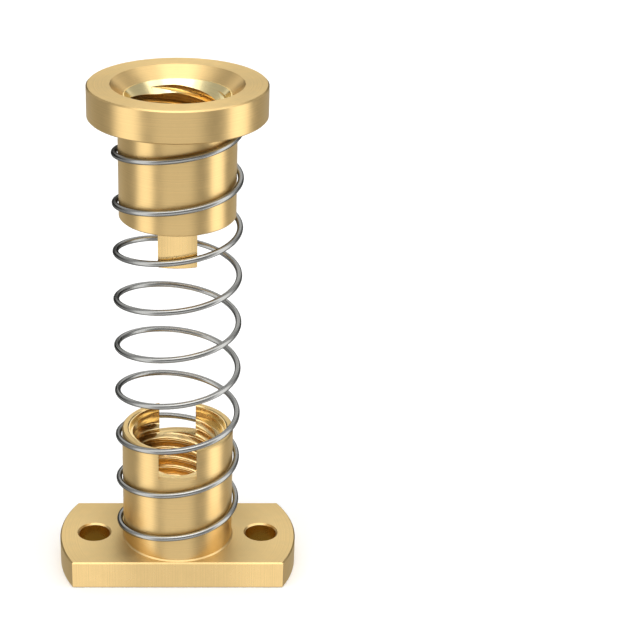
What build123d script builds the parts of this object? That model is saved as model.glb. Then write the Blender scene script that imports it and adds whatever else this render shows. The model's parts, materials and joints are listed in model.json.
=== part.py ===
"""Spring-loaded anti-backlash nut for an 8 mm lead screw.

A flanged nut is bolted to the moving carriage. A second nut, the follower, rides on the
same screw above it. A compression spring pushes the two apart, which takes up the play in
the thread, and two tabs on the follower slide in two slots of the flanged nut, so that
the follower cannot turn. The slots are cut right across the top of the flanged nut.

Units are millimetres. The origin is on the screw axis at the underside of the flange,
+Z points up the screw, and X runs along the flange through its two screw holes.
"""

import os
from math import atan, cos, pi

from build123d import *

# The lead screw and the bore it runs in, at the root of the internal thread
screw_d = 8.0
thread_root_clearance = 0.1
bore_lead_in = 0.35

# Flange of the lower nut, with its two long sides milled flat
flange_d = 22.0
flange_t = 2.7
flat_ledge = 0.275
hole_d = 2.9
hole_spacing = 15.6
hole_chamfer = 0.15

# Boss of the lower nut; the follower's body is turned to the same diameter
boss_d = 10.1
boss_h = 11.25
rim_wall = 0.58
counterbore_depth = 0.45
foot_bevel = 0.12

# Follower nut
body_length = 8.9
head_d = 15.25
head_t = 2.8
countersink_mouth_d = 11.3
countersink_floor_d = 9.1
countersink_depth = 0.95

# Tabs of the follower and the slots that guide them
tab_w = 3.3
tab_length = 2.9
tab_relief = 0.05
slot_depth = 2.8
guide_clearance = 0.05

# Spring, standing at its free length under the follower's weight. Its round wire is drawn
# with flats, because a coil this long would be heavy with a true circle.
wire_d = 0.52
wire_flat_count = 8
spring_turns = 8.94
spring_clearance = 0.07
spring_start_angle = 75.0
end_clearance = 0.02
nut_gap = 20.6

# Broken edges
edge_chamfer = 0.12
small_chamfer = 0.08

# Sizes that follow from the ones above
bore_d = screw_d + 2 * thread_root_clearance
flange_across_flats = boss_d + 2 * flat_ledge
boss_top = flange_t + boss_h
counterbore_d = boss_d - 2 * rim_wall
slot_w = tab_w + 2 * guide_clearance
slot_floor = boss_top - slot_depth
body_end = boss_top + nut_gap
tab_end = body_end - tab_length
head_underside = body_end + body_length
head_top = head_underside + head_t
countersink_floor = head_top - countersink_depth
coil_d = boss_d + 2 * spring_clearance + wire_d

os.makedirs("parts", exist_ok=True)


def circles_at(part, diameter, height):
    """Round edges of one diameter that lie at one height."""
    return (
        part.edges()
        .filter_by(GeomType.CIRCLE)
        .filter_by(lambda edge: abs(2 * edge.radius - diameter) < 0.001)
        .filter_by(lambda edge: abs(edge.center().Z - height) < 0.001)
    )


# Lower nut: flange, boss, screw holes, bore and the two guide slots
with BuildPart() as flange_nut:
    with BuildSketch():
        Circle(flange_d / 2)
        Rectangle(flange_d, flange_across_flats, mode=Mode.INTERSECT)
    extrude(amount=flange_t)
    chamfer(flange_nut.faces().filter_by(Axis.Z).edges(), edge_chamfer)

    with BuildSketch(Plane.XY.offset(flange_t)):
        Circle(boss_d / 2)
    extrude(amount=boss_h)
    chamfer(circles_at(flange_nut, boss_d, flange_t), foot_bevel)
    chamfer(circles_at(flange_nut, boss_d, boss_top), edge_chamfer)

    with Locations((0, 0, boss_top)):
        CounterBoreHole(bore_d / 2, counterbore_d / 2, counterbore_depth)
    chamfer(circles_at(flange_nut, bore_d, 0), bore_lead_in)
    chamfer(circles_at(flange_nut, counterbore_d, boss_top), small_chamfer)

    with GridLocations(hole_spacing, 0, 2, 1):
        Hole(hole_d / 2)
    chamfer(circles_at(flange_nut, hole_d, flange_t), hole_chamfer)
    chamfer(circles_at(flange_nut, hole_d, 0), hole_chamfer)

    with BuildSketch(Plane.XY.offset(slot_floor)):
        Rectangle(slot_w, flange_across_flats)
    extrude(amount=slot_depth, mode=Mode.SUBTRACT)

flange_nut.part.label = "flange_nut"
export_step(flange_nut.part, "parts/flange_nut.step")


# Follower nut: head with a countersink, body, bore and the two guide tabs
with BuildPart() as follower_nut:
    with BuildSketch(Plane.XY.offset(head_underside)):
        Circle(head_d / 2)
    extrude(amount=head_t)
    chamfer(follower_nut.edges(), edge_chamfer)

    with BuildSketch(Plane.XY.offset(body_end)):
        Circle(boss_d / 2)
    extrude(amount=body_length)
    chamfer(circles_at(follower_nut, boss_d, body_end), edge_chamfer)

    with BuildSketch(Plane.XY.offset(tab_end)):
        Circle(boss_d / 2 - tab_relief)
        Rectangle(tab_w, boss_d, mode=Mode.INTERSECT)
    extrude(amount=tab_length + edge_chamfer)
    chamfer(follower_nut.faces().sort_by(Axis.Z)[0].edges(), small_chamfer)

    with Locations((0, 0, head_top)):
        Hole(bore_d / 2)
    with BuildSketch(Plane.XY.offset(countersink_floor)):
        Circle(countersink_floor_d / 2)
    with BuildSketch(Plane.XY.offset(head_top)):
        Circle(countersink_mouth_d / 2)
    loft(mode=Mode.SUBTRACT)
    chamfer(circles_at(follower_nut, bore_d, countersink_floor), bore_lead_in)

follower_nut.part.label = "follower_nut"
export_step(follower_nut.part, "parts/follower_nut.step")


# Spring: round wire wound right-handed, with plain ends that stand on the flange below
# and bear on the follower's head above
lead_angle = atan((head_underside - flange_t) / (spring_turns * pi * coil_d))
wire_rise = wire_d / 2 * cos(lead_angle) + end_clearance
coil_start = flange_t + wire_rise
coil_height = head_underside - wire_rise - coil_start

with BuildPart() as spring:
    with BuildLine() as coil:
        helix = Helix(
            pitch=coil_height / spring_turns,
            height=coil_height,
            radius=coil_d / 2,
            center=(0, 0, coil_start),
            mode=Mode.PRIVATE,
        )
        add(helix, rotation=spring_start_angle)
    with BuildSketch(Plane(origin=coil.line @ 0, z_dir=coil.line % 0)):
        RegularPolygon(wire_d / 2, wire_flat_count)
    sweep(path=coil.line, is_frenet=True)

spring.part.label = "spring"
export_step(spring.part, "parts/spring.step")
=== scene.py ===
"""Looks of a spring-loaded anti-backlash nut for an 8 mm lead screw.

The frame gives the two brass nuts. This script adds the thread inside each of them and
the round wire of the spring that pushes them apart, and gives every surface its finish.
Sizes are in millimetres, and MM turns them to Blender's metres.
"""

import json
from math import atan, cos, pi, radians, tau

import bpy
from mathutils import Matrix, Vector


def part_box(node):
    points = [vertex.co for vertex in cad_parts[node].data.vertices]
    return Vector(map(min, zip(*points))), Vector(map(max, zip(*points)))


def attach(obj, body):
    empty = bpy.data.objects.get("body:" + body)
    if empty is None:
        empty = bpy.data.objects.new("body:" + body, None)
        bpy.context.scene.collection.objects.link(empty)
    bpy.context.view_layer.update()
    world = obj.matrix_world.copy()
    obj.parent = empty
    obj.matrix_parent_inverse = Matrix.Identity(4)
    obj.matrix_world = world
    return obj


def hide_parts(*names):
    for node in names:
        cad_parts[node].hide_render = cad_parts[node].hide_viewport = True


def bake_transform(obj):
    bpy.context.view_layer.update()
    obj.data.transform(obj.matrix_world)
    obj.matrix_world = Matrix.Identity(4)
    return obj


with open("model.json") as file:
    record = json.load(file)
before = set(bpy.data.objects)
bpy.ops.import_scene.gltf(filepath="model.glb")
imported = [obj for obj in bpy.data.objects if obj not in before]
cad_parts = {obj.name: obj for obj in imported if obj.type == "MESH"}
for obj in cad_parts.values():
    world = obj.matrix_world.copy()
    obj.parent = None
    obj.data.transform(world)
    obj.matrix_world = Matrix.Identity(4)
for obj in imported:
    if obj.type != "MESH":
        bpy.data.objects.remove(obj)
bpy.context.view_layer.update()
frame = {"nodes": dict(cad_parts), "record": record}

MM = 0.001

# The photograph's camera: it looks along +Y and down on the nut
IMAGE_PX = 640
FOCAL_PX = 1681.3
SENSOR_WIDTH = 36.0
CAMERA_DISTANCE = 134.75
CAMERA_HEIGHT = 87.07
CAMERA_PITCH = 25.62
AXIS_COLUMN_PX = 169.57
LEVEL_ROW_PX = 342.26
NEAREST_SEEN = 10.0

# The nut stands this far to the right of its place in the photograph, so that closer
# views keep the end of the flange in the frame
FRAMING_MARGIN_PX = 8

# Softboxes of the studio, in degrees seen from the nut: azimuth from the camera's side
# towards +X, elevation, half width and half height, and the brightness they add. A flag
# is a dark card, which takes brightness away
SOFTBOXES = (
    ("left", -66, 0, 18, 66, 1.00),
    ("right", 84, 0, 17, 66, 1.25),
    ("front", 0, -26, 34, 22, 0.58),
    ("front_high", 0, 60, 60, 20, 1.20),
    ("front_top", 0, 73, 80, 8, 1.30),
    ("front_flag", 0, 15, 45, 15, -0.36),
    ("back", 180, 28, 34, 13, 0.74),
    ("back_flag", 180, 1, 75, 13, -0.42),
    ("back_low", 180, -21, 60, 9, 0.21),
)

# Softness of a softbox's edges, as a share of its half width and of its half height
SIDE_SOFTNESS = 1 / 3
TOP_SOFTNESS = 1 / 4

# The ceiling begins where this share of a direction points up
CEILING_HEIGHT = 0.80
CEILING_SOFTNESS = 0.12
CEILING_BRIGHTNESS = 0.80
ROOM_BRIGHTNESS = 0.44

# Sheets under the nut: the mat is painted shade, which the holes mirror, and the lamp lights the bore
FLOOR_HALF = 4000.0
FLOOR_GLOW = 0.15
MAT_HALF_LENGTH = 9.5
MAT_HALF_WIDTH = 5.0
MAT_HEIGHT = -0.02
LAMP_HEIGHT = -0.01
LAMP_GLOW = 0.6
MATT_ROUGHNESS = 0.9

# Lead screw's thread: right-handed, four starts. Each flank runs between two shares of
# half a pitch, from the middle of the groove to the middle of the ridge
THREAD_PITCH = 1.0
THREAD_STARTS = 4
THREAD_ROOT_RADIUS = 4.05
THREAD_CREST_RADIUS = 3.5
LOWER_THREAD_PHASE = -18.5
LOWER_THREAD_FLANK = (0.05, 0.95)
UPPER_THREAD_PHASE = -35.0
UPPER_THREAD_FLANK = (0.35, 0.7)

# Mouth of the flanged nut's thread, and the collar above it in the counterbore
MOUTH_DEPTH = 0.95
MOUTH_FOOT_RADIUS = 4.02
MOUTH_TOP_RADIUS = 4.12
MOUTH_OVERLAP = 0.05
COLLAR_RADIUS = 4.46
COLLAR_DEPTH = 0.43
COLLAR_FOOT_RADIUS = 4.33
COLLAR_TOP_RADIUS = 4.41
RIM_CHAMFER = 0.08

# Mouth of the follower's thread, at the ends of its tabs
TAB_MOUTH_RADIUS = 3.7

# Parts of the nuts
FLANGE_THICKNESS = 2.7
COUNTERBORE_DEPTH = 0.45
COUNTERSINK_DEPTH = 0.95
LEAD_IN_DEPTH = 0.95
SLOT_WIDTH = 3.4
SLOT_DEPTH = 2.8
TAB_WIDTH = 3.3
TAB_LENGTH = 2.9

# How far a cut and the screw run past the faces they open, and a length that takes a cut
# right across a nut
CUT_OVER = 0.2
SCREW_OVER = 0.6
CUT_LENGTH = 12.0

# Spring
WIRE_RADIUS = 0.26
SPRING_TURNS = 8.94
SPRING_START_ANGLE = 75.0

# Facets of the round shapes, and the angle past which an edge stays sharp
ROUND_SIDES = 144
SCREW_SIDES = 96
SCREW_RINGS = 230
WIRE_SIDES = 20
WIRE_RINGS = 860
CORNER_ANGLE = 30.0

# A face is known by the share of its normal that points along the round grooves or up
ASKEW_SHARE = 0.2
UPRIGHT_SHARE = 0.5
SLOPING_SHARE = 0.6
END_FACE_SHARE = 0.95

# How near a surface lies to a face, or to the lead-in, to count as part of it
FACE_MARGIN = 0.02
LEAD_IN_MARGIN = 0.05

# Within this radius the reamer and the tap have left a smoother, brighter surface, and the lead-in's
# painted highlight lies inside it
BRIGHT_RADIUS = 4.56

# Finish of the brass: shares of its brightness and steps of its roughness. Milled faces get painted
# light, end faces painted sheen, and the flange painted shade, darker from one radius in to the other
MARK_RANGE = (0.1, 0.4)
MARK_SHADE = (0.91, 1.04)
BLOTCH_SIZE = 1.2
BLOTCH_GLOSS = 0.03
MILLED_PAINTED_LIGHT = 0.14
MILLED_SMOOTHER = 0.10
END_FACE_PAINTED_SHEEN = 0.25
END_FACE_ROUGHER = 0.12
INSIDE_SMOOTHER = 0.22
BOSS_SHADE_FROM_RADIUS = 9.5
BOSS_SHADE_TO_RADIUS = 5.8
DARKEST_BOSS_SHADE = 0.17

# Finish of the wire. The real scratches are finer and wouldn't show
SCRATCH_LENGTH = 5.037
SCRATCH_WIDTH = 0.0867
SCRATCH_SHADE = (0.95, 1.04)
SCRATCH_GLOSS = 0.05

# Where most of a noise pattern's values lie
NOISE_RANGE = (0.3, 0.7)


def linear(code):
    """An sRGB hex colour as linear red, green, blue and alpha."""
    shares = [int(code[i : i + 2], 16) / 255 for i in (1, 3, 5)]
    return [c / 12.92 if c <= 0.04045 else ((c + 0.055) / 1.055) ** 2.4 for c in shares] + [1.0]


def add(tree, kind, inputs=None, **settings):
    """Adds a node with its settings, and links its inputs or sets them to plain values."""
    made = tree.nodes.new(kind)
    for name, value in settings.items():
        setattr(made, name, value)
    for name, value in (inputs or {}).items():
        if isinstance(value, bpy.types.Node):
            value = value.outputs[0]
        if isinstance(value, bpy.types.NodeSocket):
            tree.links.new(value, made.inputs[name])
        else:
            made.inputs[name].default_value = value
    return made


def mount_dims(name):
    """The measures of one of the record's mounts."""
    return next(mount["dims"] for mount in frame["record"]["mounts"] if mount["name"] == name)


def coil_radius():
    """Radius of the spring's middle line, from the box of its solid."""
    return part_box("spring")[1].x - WIRE_RADIUS * MM


def make_camera():
    """The photograph's camera, with its frame shifted to where the nut stands in it."""
    data = bpy.data.cameras.new("camera")
    data.sensor_width = SENSOR_WIDTH
    data.lens = FOCAL_PX * SENSOR_WIDTH / IMAGE_PX
    data.shift_x = (IMAGE_PX / 2 - AXIS_COLUMN_PX - FRAMING_MARGIN_PX) / IMAGE_PX
    data.shift_y = (LEVEL_ROW_PX - IMAGE_PX / 2) / IMAGE_PX
    data.clip_start = NEAREST_SEEN * MM
    camera = bpy.data.objects.new("camera", data)
    camera.location = (0, -CAMERA_DISTANCE * MM, CAMERA_HEIGHT * MM)
    camera.rotation_euler = (radians(90 - CAMERA_PITCH), 0, 0)
    bpy.context.scene.collection.objects.link(camera)
    bpy.context.scene.camera = camera


def soft_edge(tree, distance, half, softness):
    """One within half of a softbox's centre, falling smoothly to nought at its edge."""
    return add(
        tree,
        "ShaderNodeMapRange",
        {"Value": distance, "From Min": half + softness, "From Max": half - softness},
        interpolation_type="SMOOTHSTEP",
    )


def make_room():
    """A dim studio round the nut with large softboxes and a bright ceiling. The metal
    mirrors it, and behind the nut the camera sees plain white paper."""
    world = bpy.data.worlds.new("studio")
    world.use_nodes = True
    tree = world.node_tree
    towards = add(tree, "ShaderNodeTexCoord").outputs["Generated"]
    along = add(tree, "ShaderNodeSeparateXYZ", {0: towards}).outputs
    ahead = add(tree, "ShaderNodeMath", {0: along["Y"], 1: -1.0}, operation="MULTIPLY")
    azimuth = add(tree, "ShaderNodeMath", {0: along["X"], 1: ahead}, operation="ARCTAN2")
    elevation = add(tree, "ShaderNodeMath", {0: along["Z"]}, operation="ARCSINE")
    total = add(
        tree,
        "ShaderNodeMapRange",
        {
            "Value": along["Z"],
            "From Min": CEILING_HEIGHT - CEILING_SOFTNESS,
            "From Max": CEILING_HEIGHT + CEILING_SOFTNESS,
            "To Min": ROOM_BRIGHTNESS,
            "To Max": CEILING_BRIGHTNESS,
        },
        interpolation_type="SMOOTHSTEP",
    )
    for name, centre, height, half_width, half_height, brightness in SOFTBOXES:
        aside = add(tree, "ShaderNodeMath", {0: azimuth, 1: radians(centre)}, operation="SUBTRACT")
        wrapped = add(tree, "ShaderNodeMath", {0: aside, 1: pi, 2: -pi}, operation="WRAP")
        aside = add(tree, "ShaderNodeMath", {0: wrapped}, operation="ABSOLUTE")
        above = add(tree, "ShaderNodeMath", {0: elevation, 1: radians(height)}, operation="SUBTRACT")
        above = add(tree, "ShaderNodeMath", {0: above}, operation="ABSOLUTE")
        across = soft_edge(tree, aside, radians(half_width), radians(half_width * SIDE_SOFTNESS))
        upright = soft_edge(tree, above, radians(half_height), radians(half_height * TOP_SOFTNESS))
        box = add(tree, "ShaderNodeMath", {0: across, 1: upright}, operation="MULTIPLY")
        total = add(
            tree,
            "ShaderNodeMath",
            {0: box, 1: brightness, 2: total},
            operation="MULTIPLY_ADD",
            label=name,
        )
    seen = add(tree, "ShaderNodeLightPath").outputs["Is Camera Ray"]
    strength = add(tree, "ShaderNodeMapRange", {"Value": seen, "To Min": total, "To Max": 1.0})
    tree.links.new(strength.outputs[0], tree.nodes["Background"].inputs["Strength"])
    tree.nodes["Background"].inputs["Color"].default_value = linear("#FFFFFF")
    bpy.context.scene.world = world
    bpy.context.scene.view_settings.view_transform = "Standard"


def new_material(name):
    """A new material, with its node tree and the inputs of its shader."""
    material = bpy.data.materials.new(name)
    material.use_nodes = True
    tree = material.node_tree
    return material, tree, tree.nodes["Principled BSDF"].inputs


def stage_sheet(name, half_x, half_y, height, colour, glow=0.0):
    """A flat matt sheet under the nut, which isn't part of it."""
    mesh = bpy.data.meshes.new(name)
    corners = ((-half_x, -half_y), (half_x, -half_y), (half_x, half_y), (-half_x, half_y))
    mesh.from_pydata([(x * MM, y * MM, height * MM) for x, y in corners], [], [(0, 1, 2, 3)])
    sheet = bpy.data.objects.new(name, mesh)
    bpy.context.scene.collection.objects.link(sheet)
    material, _, shader = new_material(name)
    shader["Base Color"].default_value = linear(colour)
    shader["Roughness"].default_value = MATT_ROUGHNESS
    shader["Specular IOR Level"].default_value = 0.0
    shader["Emission Color"].default_value = linear("#FFFFFF")
    shader["Emission Strength"].default_value = glow
    mesh.materials.append(material)
    return sheet


def make_floor():
    """A plain pale floor, which the bright metal doesn't mirror. Hidden under the flange are a brown
    mat, painted shade that stands for the floor in the nut's shadow, which its holes mirror, and a
    soft white lamp, which lights its bore."""
    floor = stage_sheet("pale_floor", FLOOR_HALF, FLOOR_HALF, 0.0, "#FAFAF9", FLOOR_GLOW)
    floor.visible_glossy = False
    # Painted shade: this brown sheet stands for the floor in the flange's shadow
    stage_sheet("painted_shade_mat", MAT_HALF_LENGTH, MAT_HALF_WIDTH, MAT_HEIGHT, "#C4B070")
    bore = mount_dims("screw_thread")["r_mm"]
    stage_sheet("bore_lamp", bore, bore, LAMP_HEIGHT, "#FAFAF9", LAMP_GLOW)


def milled_faces(tree, at, normal, tilt, round_groove, flange):
    """One where the brass is milled, and nought elsewhere: on upright faces that don't face
    the axis, on the tabs and on the long sides of the flange."""
    skew = add(tree, "ShaderNodeVectorMath", {0: normal, 1: round_groove}, operation="DOT_PRODUCT")
    skew = add(tree, "ShaderNodeMath", {0: skew.outputs["Value"]}, operation="ABSOLUTE")
    askew = add(tree, "ShaderNodeMath", {0: skew, 1: ASKEW_SHARE}, operation="GREATER_THAN")
    upright = add(tree, "ShaderNodeMath", {0: tilt, 1: 0.0, 2: UPRIGHT_SHARE}, operation="COMPARE")
    flat = add(tree, "ShaderNodeMath", {0: askew, 1: upright}, operation="MULTIPLY")
    half_tab = TAB_LENGTH / 2 * MM
    tab_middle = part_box("follower_nut")[0].z + half_tab
    tab = add(tree, "ShaderNodeMath", {0: at["Z"], 1: tab_middle, 2: half_tab}, operation="COMPARE")
    away = add(tree, "ShaderNodeMath", {0: at["Y"]}, operation="ABSOLUTE")
    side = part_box("flange_nut")[1].y
    near_side = {0: away, 1: side, 2: FACE_MARGIN * MM}
    on_side = add(tree, "ShaderNodeMath", near_side, operation="COMPARE")
    long_side = add(tree, "ShaderNodeMath", {0: flange, 1: on_side}, operation="MULTIPLY")
    milled = add(tree, "ShaderNodeMath", {0: flat, 1: tab}, operation="MAXIMUM")
    return add(tree, "ShaderNodeMath", {0: milled, 1: long_side}, operation="MAXIMUM")


def brass_shade(tree, lines, blotches, radius, milled, flange):
    """The brass's brightness. It wavers with the tool's marks, milled faces get painted light, and the
    flange gets painted shade, darker towards the boss."""
    mixed = add(tree, "ShaderNodeMath", {0: lines, 1: blotches}, operation="MULTIPLY")
    marked = add(
        tree,
        "ShaderNodeMapRange",
        {
            "Value": mixed,
            "From Min": MARK_RANGE[0],
            "From Max": MARK_RANGE[1],
            "To Min": MARK_SHADE[0],
            "To Max": MARK_SHADE[1],
        },
    )
    # Painted light: milled faces are made lighter
    painted_light_factor = add(
        tree, "ShaderNodeMath", {0: milled, 1: MILLED_PAINTED_LIGHT, 2: 1.0}, operation="MULTIPLY_ADD"
    )
    shade = add(tree, "ShaderNodeMath", {0: marked, 1: painted_light_factor}, operation="MULTIPLY")
    # Painted shade: the flange grows darker towards the boss's foot
    nearness = add(
        tree,
        "ShaderNodeMapRange",
        {
            "Value": radius,
            "From Min": BOSS_SHADE_FROM_RADIUS * MM,
            "From Max": BOSS_SHADE_TO_RADIUS * MM,
            "To Min": 0.0,
            "To Max": DARKEST_BOSS_SHADE,
        },
        interpolation_type="SMOOTHSTEP",
    )
    painted_boss_shade = add(tree, "ShaderNodeMath", {0: nearness, 1: flange}, operation="MULTIPLY")
    bright = add(tree, "ShaderNodeMath", {0: 1.0, 1: painted_boss_shade}, operation="SUBTRACT")
    return add(tree, "ShaderNodeMath", {0: shade, 1: bright}, operation="MULTIPLY")


def brass_painted_highlight(tree, at, tilt, inside, end_face):
    """How far the brass is painted paler than its own colour: end faces that face up get a little
    painted sheen, and the sloping faces of the follower's lead-in a painted highlight, almost white."""
    half_depth = LEAD_IN_DEPTH / 2 * MM
    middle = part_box("follower_nut")[1].z - COUNTERSINK_DEPTH * MM - half_depth
    near_middle = {0: at["Z"], 1: middle, 2: half_depth + LEAD_IN_MARGIN * MM}
    # Painted highlight: the sloping faces of the lead-in are painted almost white
    lead_in = add(tree, "ShaderNodeMath", near_middle, operation="COMPARE")
    lead_in = add(tree, "ShaderNodeMath", {0: lead_in, 1: inside}, operation="MULTIPLY")
    sloping = add(tree, "ShaderNodeMath", {0: tilt, 1: SLOPING_SHARE}, operation="GREATER_THAN")
    painted_lead_in_highlight = add(tree, "ShaderNodeMath", {0: lead_in, 1: sloping}, operation="MULTIPLY")
    # Painted sheen: end faces that face up are painted a little paler
    painted_end_sheen = add(tree, "ShaderNodeMath", {0: end_face, 1: END_FACE_PAINTED_SHEEN}, operation="MULTIPLY")
    return add(tree, "ShaderNodeMath", {0: painted_end_sheen, 1: painted_lead_in_highlight}, operation="MAXIMUM")


def brass_gloss(tree, roughness, smoothest, blotches, end_face, milled, inside):
    """The brass's roughness. It wavers in blotches, and end faces are rougher than the
    walls, milled faces and bores smoother."""
    gloss = add(
        tree,
        "ShaderNodeMapRange",
        {
            "Value": blotches,
            "From Min": NOISE_RANGE[0],
            "From Max": NOISE_RANGE[1],
            "To Min": roughness - BLOTCH_GLOSS,
            "To Max": roughness + BLOTCH_GLOSS,
        },
    )
    steps = (
        (end_face, END_FACE_ROUGHER),
        (milled, -MILLED_SMOOTHER),
        (inside, -INSIDE_SMOOTHER),
    )
    for place, step in steps:
        gloss = add(tree, "ShaderNodeMath", {0: place, 1: step, 2: gloss}, operation="MULTIPLY_ADD")
    return add(tree, "ShaderNodeMath", {0: gloss, 1: smoothest}, operation="MAXIMUM")


def cut_brass(name, colour, roughness, smoothest, spread, feed, depth):
    """Free-cutting brass, cut and left bright. Round and end faces are turned: their fine
    grooves run round Z and draw each reflection out across themselves, so the walls get
    upright bands and the end faces a radial sheen. The flats and the tabs are milled, with
    upright marks. The grooves are a feed apart, coarser than the real ones, so that they
    show."""
    material, tree, shader = new_material(name)
    place = add(tree, "ShaderNodeTexCoord").outputs["Object"]
    at = add(tree, "ShaderNodeSeparateXYZ", {0: place}).outputs
    normal = add(tree, "ShaderNodeNewGeometry").outputs["Normal"]
    tilt = add(tree, "ShaderNodeSeparateXYZ", {0: normal}).outputs["Z"]
    flipped = add(tree, "ShaderNodeMath", {0: at["Y"], 1: -1.0}, operation="MULTIPLY")
    around = add(tree, "ShaderNodeCombineXYZ", {"X": flipped, "Y": at["X"]})
    round_groove = add(tree, "ShaderNodeVectorMath", {0: around}, operation="NORMALIZE")
    radius = add(tree, "ShaderNodeVectorMath", {0: around}, operation="LENGTH").outputs["Value"]

    # The places that have a finish of their own
    half_flange = FLANGE_THICKNESS / 2 * MM
    near_flange = {0: at["Z"], 1: half_flange, 2: half_flange}
    flange = add(tree, "ShaderNodeMath", near_flange, operation="COMPARE")
    end_face = add(tree, "ShaderNodeMath", {0: tilt, 1: END_FACE_SHARE}, operation="GREATER_THAN")
    inside = add(tree, "ShaderNodeMath", {0: radius, 1: BRIGHT_RADIUS * MM}, operation="LESS_THAN")
    milled = milled_faces(tree, at, normal, tilt, round_groove, flange)
    turned = add(tree, "ShaderNodeMath", {0: 1.0, 1: milled}, operation="SUBTRACT")

    # Which way the grooves run, and how far the tool has travelled across them
    upright_groove = add(tree, "ShaderNodeCombineXYZ", {"Z": milled})
    groove = add(
        tree,
        "ShaderNodeVectorMath",
        {0: round_groove, 1: turned, 2: upright_groove},
        operation="MULTIPLY_ADD",
    )
    turned_travel = add(tree, "ShaderNodeMath", {0: radius, 1: at["Z"]}, operation="ADD")
    milled_travel = add(tree, "ShaderNodeMath", {0: at["X"], 1: at["Y"]}, operation="ADD")
    milled_travel = add(tree, "ShaderNodeMath", {0: milled_travel, 1: milled}, operation="MULTIPLY")
    travel = add(
        tree,
        "ShaderNodeMath",
        {0: turned_travel, 1: turned, 2: milled_travel},
        operation="MULTIPLY_ADD",
    )
    lines = add(
        tree,
        "ShaderNodeTexNoise",
        {"W": travel, "Scale": 1 / (feed * MM), "Detail": 2.0, "Roughness": 0.6},
        noise_dimensions="1D",
    ).outputs["Fac"]
    blotches = add(
        tree,
        "ShaderNodeTexNoise",
        {"Vector": place, "Scale": 1 / (BLOTCH_SIZE * MM), "Detail": 4.0},
    ).outputs["Fac"]

    own = linear(colour)[:3]
    # Painted highlight and sheen: parts of the brass are painted paler, towards this pale yellow
    to_painted_highlight = [pale - plain for pale, plain in zip(linear("#FFECB2")[:3], own)]
    painted_paleness = brass_painted_highlight(tree, at, tilt, inside, end_face)
    hue = add(
        tree, "ShaderNodeVectorMath", {0: painted_paleness, 1: to_painted_highlight, 2: own}, operation="MULTIPLY_ADD"
    )
    shade = brass_shade(tree, lines, blotches, radius, milled, flange)
    tinted = add(tree, "ShaderNodeVectorMath", {0: hue, "Scale": shade}, operation="SCALE")
    gloss = brass_gloss(tree, roughness, smoothest, blotches, end_face, milled, inside)
    bump = add(tree, "ShaderNodeBump", {"Height": lines, "Distance": depth * MM, "Strength": 1.0})
    shader["Metallic"].default_value = 1.0
    shader["Anisotropic"].default_value = spread
    shader["Anisotropic Rotation"].default_value = 0.25
    shader["Specular Tint"].default_value = linear("#FBF6E6")
    tree.links.new(tinted.outputs[0], shader["Base Color"])
    tree.links.new(gloss.outputs[0], shader["Roughness"])
    tree.links.new(groove.outputs[0], shader["Tangent"])
    tree.links.new(bump.outputs[0], shader["Normal"])
    return material


def drawn_wire(name, roughness):
    """Patented spring steel, drawn through a die: grey and satin, with long faint
    scratches along the wire and dark edges."""
    material, tree, shader = new_material(name)
    section = add(tree, "ShaderNodeAttribute", attribute_name="section").outputs["Vector"]
    along = add(tree, "ShaderNodeAttribute", attribute_name="along").outputs["Fac"]
    lengths = SPRING_TURNS * tau * coil_radius() / (SCRATCH_LENGTH * MM)
    long_way = add(tree, "ShaderNodeMath", {0: along, 1: lengths}, operation="MULTIPLY")
    lift = add(tree, "ShaderNodeCombineXYZ", {"Z": long_way})
    widths = WIRE_RADIUS / SCRATCH_WIDTH
    where = add(
        tree,
        "ShaderNodeVectorMath",
        {0: section, 1: (widths, widths, widths), 2: lift},
        operation="MULTIPLY_ADD",
    )
    scratches = add(
        tree, "ShaderNodeTexNoise", {"Vector": where, "Scale": 1.0, "Detail": 3.0}
    ).outputs["Fac"]
    shade = add(
        tree,
        "ShaderNodeMapRange",
        {
            "Value": scratches,
            "From Min": NOISE_RANGE[0],
            "From Max": NOISE_RANGE[1],
            "To Min": SCRATCH_SHADE[0],
            "To Max": SCRATCH_SHADE[1],
        },
    )
    own = linear("#B2B2AF")[:3]
    tinted = add(tree, "ShaderNodeVectorMath", {0: own, "Scale": shade}, operation="SCALE")
    gloss = add(
        tree,
        "ShaderNodeMapRange",
        {
            "Value": scratches,
            "From Min": NOISE_RANGE[0],
            "From Max": NOISE_RANGE[1],
            "To Min": roughness - SCRATCH_GLOSS,
            "To Max": roughness + SCRATCH_GLOSS,
        },
    )
    shader["Metallic"].default_value = 1.0
    shader["Specular Tint"].default_value = linear("#7A7A78")
    tree.links.new(tinted.outputs[0], shader["Base Color"])
    tree.links.new(gloss.outputs[0], shader["Roughness"])
    return material


# The kind of input that each sort of size needs
SOCKET_KINDS = {
    float: "NodeSocketFloat",
    int: "NodeSocketInt",
    tuple: "NodeSocketVector",
    bpy.types.Material: "NodeSocketMaterial",
}


def new_tree(name, sizes):
    """A Geometry Nodes tree with a named input for each size. Returns it and its inputs."""
    tree = bpy.data.node_groups.new(name, "GeometryNodeTree")
    tree.interface.new_socket("Mesh", in_out="OUTPUT", socket_type="NodeSocketGeometry")
    for size, value in sizes.items():
        tree.interface.new_socket(size, in_out="INPUT", socket_type=SOCKET_KINDS[type(value)])
    return tree, tree.nodes.new("NodeGroupInput").outputs


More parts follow.
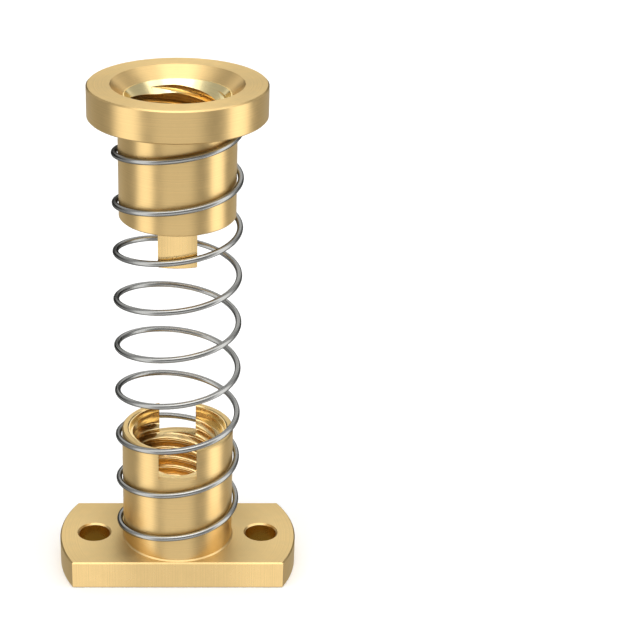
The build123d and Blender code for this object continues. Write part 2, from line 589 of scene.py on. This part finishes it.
def end_tree(tree, shape, material):
    """Shades the shape smooth, apart from its corners, gives it its material and closes
    the tree."""
    corner = radians(CORNER_ANGLE)
    smooth = add(tree, "GeometryNodeSetShadeSmooth", {"Geometry": shape, "Shade Smooth": True})
    angle = add(tree, "GeometryNodeInputMeshEdgeAngle")
    sharp = add(tree, "ShaderNodeMath", {0: angle, 1: corner}, operation="GREATER_THAN")
    edged = add(
        tree,
        "GeometryNodeSetShadeSmooth",
        {"Geometry": smooth, "Selection": sharp, "Shade Smooth": False},
        domain="EDGE",
    )
    whole = add(tree, "GeometryNodeRealizeInstances", {"Geometry": edged})
    finished = add(tree, "GeometryNodeSetMaterial", {"Geometry": whole, "Material": material})
    add(tree, "NodeGroupOutput", {"Mesh": finished})


def plain_piece(name, tree, sizes):
    """Runs a tree with these sizes and returns the result as one plain mesh object."""
    piece = bpy.data.objects.new(name, bpy.data.meshes.new(name))
    bpy.context.scene.collection.objects.link(piece)
    modifier = piece.modifiers.new(tree.name, "NODES")
    modifier.node_group = tree
    for socket in tree.interface.items_tree:
        if socket.in_out == "INPUT":
            modifier[socket.identifier] = sizes[socket.name]
    shape = piece.evaluated_get(bpy.context.evaluated_depsgraph_get())
    mesh = bpy.data.meshes.new_from_object(shape)
    piece.modifiers.clear()
    piece.data = mesh
    mesh.name = name
    return piece


def screw_shape(tree, sizes):
    """A screw that fills the thread: a cylinder whose section has one lobe for each start,
    and turns as it rises."""
    length = add(tree, "ShaderNodeMath", {0: sizes["High"], 1: sizes["Low"]}, operation="SUBTRACT")
    depth = add(tree, "ShaderNodeMath", {0: length, 1: 2 * SCREW_OVER * MM}, operation="ADD")
    rod = add(
        tree,
        "GeometryNodeMeshCylinder",
        {"Vertices": SCREW_SIDES, "Side Segments": SCREW_RINGS, "Radius": MM, "Depth": depth},
    )
    at = add(tree, "ShaderNodeSeparateXYZ", {0: add(tree, "GeometryNodeInputPosition")}).outputs
    angle = add(tree, "ShaderNodeMath", {0: at["Y"], 1: at["X"]}, operation="ARCTAN2")
    lobes = add(tree, "ShaderNodeMath", {0: angle, 1: sizes["Starts"]}, operation="MULTIPLY")
    halves = add(tree, "ShaderNodeMath", {0: lobes, 1: 1 / pi}, operation="MULTIPLY")
    share = add(tree, "ShaderNodeMath", {0: halves, 1: 1.0}, operation="PINGPONG")
    radius = add(
        tree,
        "ShaderNodeMapRange",
        {
            "Value": share,
            "From Min": sizes["Flank foot"],
            "From Max": sizes["Flank top"],
            "To Min": sizes["Root radius"],
            "To Max": sizes["Crest radius"],
        },
        interpolation_type="SMOOTHSTEP",
    )
    turns = add(tree, "ShaderNodeMath", {0: at["Z"], 1: sizes["Lead"]}, operation="DIVIDE")
    twist = add(
        tree, "ShaderNodeMath", {0: turns, 1: tau, 2: sizes["Phase"]}, operation="MULTIPLY_ADD"
    )
    turned = add(tree, "ShaderNodeMath", {0: angle, 1: twist}, operation="ADD")
    x = add(tree, "ShaderNodeMath", {0: turned}, operation="COSINE")
    y = add(tree, "ShaderNodeMath", {0: turned}, operation="SINE")
    direction = add(tree, "ShaderNodeCombineXYZ", {"X": x, "Y": y})
    section = add(tree, "ShaderNodeVectorMath", {0: direction, "Scale": radius}, operation="SCALE")
    height = add(tree, "ShaderNodeCombineXYZ", {"Z": at["Z"]})
    place = add(tree, "ShaderNodeVectorMath", {0: section, 1: height}, operation="ADD")
    return add(tree, "GeometryNodeSetPosition", {"Geometry": rod, "Position": place})


def raised(tree, shape, height):
    """The shape, moved up to a height."""
    lift = add(tree, "ShaderNodeCombineXYZ", {"Z": height})
    return add(tree, "GeometryNodeTransform", {"Geometry": shape, "Translation": lift})


def midway(tree, low, high):
    """The height halfway between two others."""
    both = add(tree, "ShaderNodeMath", {0: high, 1: low}, operation="ADD")
    return add(tree, "ShaderNodeMath", {0: both, 1: 0.5}, operation="MULTIPLY")


def cylinder(tree, radius, low, high):
    """An upright cylinder on the axis, between two heights."""
    span = add(tree, "ShaderNodeMath", {0: high, 1: low}, operation="SUBTRACT")
    shape = add(
        tree,
        "GeometryNodeMeshCylinder",
        {"Vertices": ROUND_SIDES, "Side Segments": 1, "Radius": radius, "Depth": span},
    )
    return raised(tree, shape, midway(tree, low, high))


def thread_piece(name, sizes, mouths, cuts):
    """A thin sleeve in the bore of a nut, with the thread on its inside, its mouths turned
    out and the nut's slots cut through it. A mouth is the height and the radius of its
    foot and of its top, and a cut is the centre and the size of a box."""
    for number, (foot, foot_radius, top, top_radius) in enumerate(mouths):
        sizes[f"Mouth {number} foot"] = foot
        sizes[f"Mouth {number} foot radius"] = foot_radius
        sizes[f"Mouth {number} depth"] = top - foot
        sizes[f"Mouth {number} top radius"] = top_radius
    for number, (centre, size) in enumerate(cuts):
        sizes[f"Cut {number} centre"] = centre
        sizes[f"Cut {number} size"] = size
    tree, given = new_tree(name, sizes)
    sleeve = cylinder(tree, given["Bore radius"], given["Low"], given["High"])
    if "Collar radius" in sizes:
        collar = cylinder(tree, given["Collar radius"], given["High"], given["Collar top"])
        joined = add(tree, "GeometryNodeMeshBoolean", operation="UNION", solver="EXACT")
        for shape in (sleeve, collar):
            tree.links.new(shape.outputs[0], joined.inputs["Mesh 2"])
        sleeve = joined
    tools = [raised(tree, screw_shape(tree, given), midway(tree, given["Low"], given["High"]))]
    for number in range(len(mouths)):
        cone = add(
            tree,
            "GeometryNodeMeshCone",
            {
                "Vertices": ROUND_SIDES,
                "Radius Bottom": given[f"Mouth {number} foot radius"],
                "Radius Top": given[f"Mouth {number} top radius"],
                "Depth": given[f"Mouth {number} depth"],
            },
        )
        tools.append(raised(tree, cone, given[f"Mouth {number} foot"]))
    for number in range(len(cuts)):
        box = add(tree, "GeometryNodeMeshCube", {"Size": given[f"Cut {number} size"]})
        moved = {"Geometry": box, "Translation": given[f"Cut {number} centre"]}
        tools.append(add(tree, "GeometryNodeTransform", moved))
    cut = add(tree, "GeometryNodeMeshBoolean", operation="DIFFERENCE", solver="EXACT")
    tree.links.new(sleeve.outputs[0], cut.inputs["Mesh 1"])
    for tool in tools:
        tree.links.new(tool.outputs[0], cut.inputs["Mesh 2"])
    end_tree(tree, cut, given["Finish"])
    return plain_piece(name, tree, sizes)


def thread_sizes(bore, low, phase, flank, finish):
    """The sizes of one nut's thread, with its bore as the mount's measures give it."""
    return {
        "Bore radius": bore["r_mm"] * MM,
        "Root radius": THREAD_ROOT_RADIUS * MM,
        "Crest radius": THREAD_CREST_RADIUS * MM,
        "Starts": THREAD_STARTS,
        "Lead": THREAD_STARTS * THREAD_PITCH * MM,
        "Phase": radians(phase),
        "Flank foot": flank[0],
        "Flank top": flank[1],
        "Low": low,
        "High": low + bore["length_mm"] * MM,
        "Finish": finish,
    }


def lower_thread(finish):
    """The flanged nut's thread. Its foot is countersunk, and its mouth opens steeply from
    the first ridge to the rim of the counterbore, where a collar eases the shoulder."""
    bore = mount_dims("screw_thread")
    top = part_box("flange_nut")[1].z
    low = top - (COUNTERBORE_DEPTH + bore["length_mm"]) * MM
    over = CUT_OVER * MM
    wide = bore["r_mm"] * MM + over
    collar_foot = top - COLLAR_DEPTH * MM
    mouths = [
        (low - over, wide, low - over + wide, 0.0),
        (
            top - MOUTH_DEPTH * MM,
            MOUTH_FOOT_RADIUS * MM,
            collar_foot + MOUTH_OVERLAP * MM,
            MOUTH_TOP_RADIUS * MM,
        ),
        (collar_foot, COLLAR_FOOT_RADIUS * MM, top + over, COLLAR_TOP_RADIUS * MM),
    ]
    slot_height = SLOT_DEPTH * MM + over
    slot_middle = top - SLOT_DEPTH * MM + slot_height / 2
    cuts = [((0.0, 0.0, slot_middle), (SLOT_WIDTH * MM, CUT_LENGTH * MM, slot_height))]
    sizes = thread_sizes(bore, low, LOWER_THREAD_PHASE, LOWER_THREAD_FLANK, finish)
    sizes["Collar radius"] = COLLAR_RADIUS * MM
    sizes["Collar top"] = top - RIM_CHAMFER * MM
    piece = thread_piece("flange_nut_thread", sizes, mouths, cuts)
    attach(piece, "base")


def upper_thread(finish):
    """The follower's thread, from the ends of its tabs to the lead-in under the
    countersink, which its upper mouth carries on."""
    bore = mount_dims("follower_thread")
    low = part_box("follower_nut")[0].z
    sizes = thread_sizes(bore, low, UPPER_THREAD_PHASE, UPPER_THREAD_FLANK, finish)
    high = sizes["High"]
    over = CUT_OVER * MM
    wide = sizes["Bore radius"] + over
    foot = TAB_MOUTH_RADIUS * MM + over
    mouths = [(low - over, foot, low - over + foot, 0.0), (high + over - wide, 0.0, high + over, wide)]
    height = TAB_LENGTH * MM + over
    length = CUT_LENGTH * MM
    side = (TAB_WIDTH * MM + length) / 2
    middle = low - over + height / 2
    cuts = [((x, 0.0, middle), (length, length, height)) for x in (-side, side)]
    piece = thread_piece("follower_nut_thread", sizes, mouths, cuts)
    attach(piece, "follower")


def coil_line(tree, given):
    """The middle line of the wire, a helix. Each of its points keeps how far along it is."""
    line = add(tree, "GeometryNodeCurvePrimitiveLine")
    dense = add(tree, "GeometryNodeResampleCurve", {"Curve": line, "Count": WIRE_RINGS})
    share = add(tree, "GeometryNodeSplineParameter").outputs["Factor"]
    kept = add(
        tree,
        "GeometryNodeStoreNamedAttribute",
        {"Geometry": dense, "Name": "along", "Value": share},
        data_type="FLOAT",
        domain="POINT",
    )
    turns = add(tree, "ShaderNodeMath", {0: share, 1: given["Turns"]}, operation="MULTIPLY")
    angle = add(
        tree,
        "ShaderNodeMath",
        {0: turns, 1: tau, 2: given["Start angle"]},
        operation="MULTIPLY_ADD",
    )
    x = add(tree, "ShaderNodeMath", {0: angle}, operation="COSINE")
    y = add(tree, "ShaderNodeMath", {0: angle}, operation="SINE")
    direction = add(tree, "ShaderNodeCombineXYZ", {"X": x, "Y": y})
    circle = add(
        tree,
        "ShaderNodeVectorMath",
        {0: direction, "Scale": given["Coil radius"]},
        operation="SCALE",
    )
    height = add(
        tree,
        "ShaderNodeMath",
        {0: share, 1: given["Height"], 2: given["Bottom"]},
        operation="MULTIPLY_ADD",
    )
    lift = add(tree, "ShaderNodeCombineXYZ", {"Z": height})
    place = add(tree, "ShaderNodeVectorMath", {0: circle, 1: lift}, operation="ADD")
    return add(tree, "GeometryNodeSetPosition", {"Geometry": kept, "Position": place})


def make_spring(finish):
    """The spring's round wire, from the flange up to the follower's head."""
    low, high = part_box("spring")
    lead_angle = atan((high.z - low.z) / (SPRING_TURNS * tau * coil_radius()))
    rise = WIRE_RADIUS * MM * cos(lead_angle)
    sizes = {
        "Coil radius": coil_radius(),
        "Wire radius": WIRE_RADIUS * MM,
        "Turns": SPRING_TURNS,
        "Start angle": radians(SPRING_START_ANGLE),
        "Bottom": low.z + rise,
        "Height": high.z - low.z - 2 * rise,
        "Finish": finish,
    }
    tree, given = new_tree("coil_spring", sizes)
    section = add(
        tree,
        "GeometryNodeCurvePrimitiveCircle",
        {"Resolution": WIRE_SIDES, "Radius": given["Wire radius"]},
    )
    position = add(tree, "GeometryNodeInputPosition")
    side = add(tree, "ShaderNodeVectorMath", {0: position}, operation="NORMALIZE")
    marked = add(
        tree,
        "GeometryNodeStoreNamedAttribute",
        {"Geometry": section, "Name": "section", "Value": side},
        data_type="FLOAT_VECTOR",
        domain="POINT",
    )
    wire = add(
        tree,
        "GeometryNodeCurveToMesh",
        {"Curve": coil_line(tree, given), "Profile Curve": marked, "Fill Caps": True},
    )
    end_tree(tree, wire, given["Finish"])
    spring = plain_piece("spring_wire", tree, sizes)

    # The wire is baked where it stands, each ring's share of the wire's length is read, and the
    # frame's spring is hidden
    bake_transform(spring)
    share_up = [0.0] * len(spring.data.vertices)
    spring.data.attributes["along"].data.foreach_get("value", share_up)
    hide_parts("spring")


make_camera()
make_room()
make_floor()

brass = cut_brass(
    "free-cutting brass, turned",
    colour="#EFCD8E",
    roughness=0.36,
    smoothest=0.15,
    spread=0.7,
    feed=0.10,
    depth=0.0008,
)
# Painted light: the tapped brass is lighter than the turned brass, so that the bore's inside looks
# lit. Its roughness and spread are its own finish
thread_brass_painted_lighter = cut_brass(
    "free-cutting brass, tapped, painted lighter",
    colour="#F5D79C",
    roughness=0.22,
    smoothest=0.21,
    spread=0.4,
    feed=0.25,
    depth=0.0001,
)
steel = drawn_wire("spring steel, drawn", roughness=0.26)

for node in ("flange_nut", "follower_nut"):
    frame["nodes"][node].material_slots[0].material = brass
lower_thread(thread_brass_painted_lighter)
upper_thread(thread_brass_painted_lighter)
make_spring(steel)
